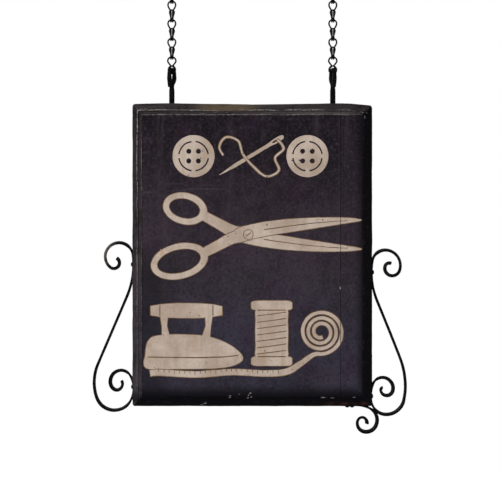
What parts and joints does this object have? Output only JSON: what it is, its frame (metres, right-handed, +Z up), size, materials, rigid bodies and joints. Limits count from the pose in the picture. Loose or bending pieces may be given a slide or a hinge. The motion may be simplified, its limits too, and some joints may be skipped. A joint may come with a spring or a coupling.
{
  "type": "hanging trade sign",
  "caption": "Moulded wooden signboard with forged side scrolls, hung on chains of folded wire links from eye bolts.",
  "frame": {"origin": "midway between the two hanger shanks, on the face that they screw into", "axes": "+Z up along the shanks, +X to the right along the board, the front looks along -Y"},
  "size_m": [0.667, 0.029, 1.0586],
  "materials": {
    "black_board": "aged brown-black paint, rubbed to the wood on its arrises",
    "forged_iron": "black paint on forged iron, low sheen",
    "chain_wire": "dull, darkened steel wire",
    "cream_paint": "aged cream sign paint",
    "ochre_paint": "thin ochre-brown outline paint",
    "bare_wood": "bare, weathered softwood"
  },
  "bodies": {
    "root": {"left_hanger": "forged_iron", "right_hanger": "forged_iron"},
    "left_link_1": {"left_link_1": "chain_wire"},
    "left_link_2": {"left_link_2": "chain_wire"},
    "left_link_3": {"left_link_3": "chain_wire"},
    "left_link_4": {"left_link_4": "chain_wire"},
    "left_link_5": {"left_link_5": "chain_wire"},
    "board": {"wide_plank": "black_board", "narrow_plank": "black_board", "top_strip": "black_board", "bottom_strip": "black_board", "left_strip": "black_board", "right_strip": "black_board", "left_eye_bolt": "forged_iron", "right_eye_bolt": "forged_iron", "left_scroll": "forged_iron", "right_scroll": "forged_iron", "corner_scroll": "forged_iron", "scroll_screws": "forged_iron"},
    "right_link_1": {"right_link_1": "chain_wire"},
    "right_link_2": {"right_link_2": "chain_wire"},
    "right_link_3": {"right_link_3": "chain_wire"},
    "right_link_4": {"right_link_4": "chain_wire"},
    "right_link_5": {"right_link_5": "chain_wire"}
  },
  "joints": [
    {"name": "left_swing_1", "type": "hinge", "parent": "root", "child": "left_link_1", "pos_m": [-0.171, 0, -0.0471], "axis": [1, 0, 0], "range_deg": [-20, 20]},
    {"name": "left_swing_2", "type": "hinge", "parent": "left_link_1", "child": "left_link_2", "pos_m": [-0.171, 0, -0.0866], "axis": [1, 0, 0], "range_deg": [-20, 20]},
    {"name": "left_swing_3", "type": "hinge", "parent": "left_link_2", "child": "left_link_3", "pos_m": [-0.171, 0, -0.1261], "axis": [1, 0, 0], "range_deg": [-20, 20]},
    {"name": "left_swing_4", "type": "hinge", "parent": "left_link_3", "child": "left_link_4", "pos_m": [-0.171, 0, -0.1656], "axis": [1, 0, 0], "range_deg": [-20, 20]},
    {"name": "left_swing_5", "type": "hinge", "parent": "left_link_4", "child": "left_link_5", "pos_m": [-0.171, 0, -0.2051], "axis": [1, 0, 0], "range_deg": [-20, 20]},
    {"name": "board_swing", "type": "hinge", "parent": "left_link_5", "child": "board", "pos_m": [-0.171, 0, -0.24036], "axis": [1, 0, 0], "range_deg": [-15, 15]},
    {"name": "right_swing_1", "type": "hinge", "parent": "root", "child": "right_link_1", "pos_m": [0.171, 0, -0.0471], "axis": [1, 0, 0], "range_deg": [-20, 20]},
    {"name": "right_swing_2", "type": "hinge", "parent": "right_link_1", "child": "right_link_2", "pos_m": [0.171, 0, -0.0866], "axis": [1, 0, 0], "range_deg": [-20, 20]},
    {"name": "right_swing_3", "type": "hinge", "parent": "right_link_2", "child": "right_link_3", "pos_m": [0.171, 0, -0.1261], "axis": [1, 0, 0], "range_deg": [-20, 20]},
    {"name": "right_swing_4", "type": "hinge", "parent": "right_link_3", "child": "right_link_4", "pos_m": [0.171, 0, -0.1656], "axis": [1, 0, 0], "range_deg": [-20, 20]},
    {"name": "right_swing_5", "type": "hinge", "parent": "right_link_4", "child": "right_link_5", "pos_m": [0.171, 0, -0.2051], "axis": [1, 0, 0], "range_deg": [-20, 20]}
  ],
  "couplings": [
    {"joint": "right_swing_1", "follows": "left_swing_1", "ratio": 1},
    {"joint": "right_swing_2", "follows": "left_swing_2", "ratio": 1},
    {"joint": "right_swing_3", "follows": "left_swing_3", "ratio": 1},
    {"joint": "right_swing_4", "follows": "left_swing_4", "ratio": 1},
    {"joint": "right_swing_5", "follows": "left_swing_5", "ratio": 1}
  ]
}
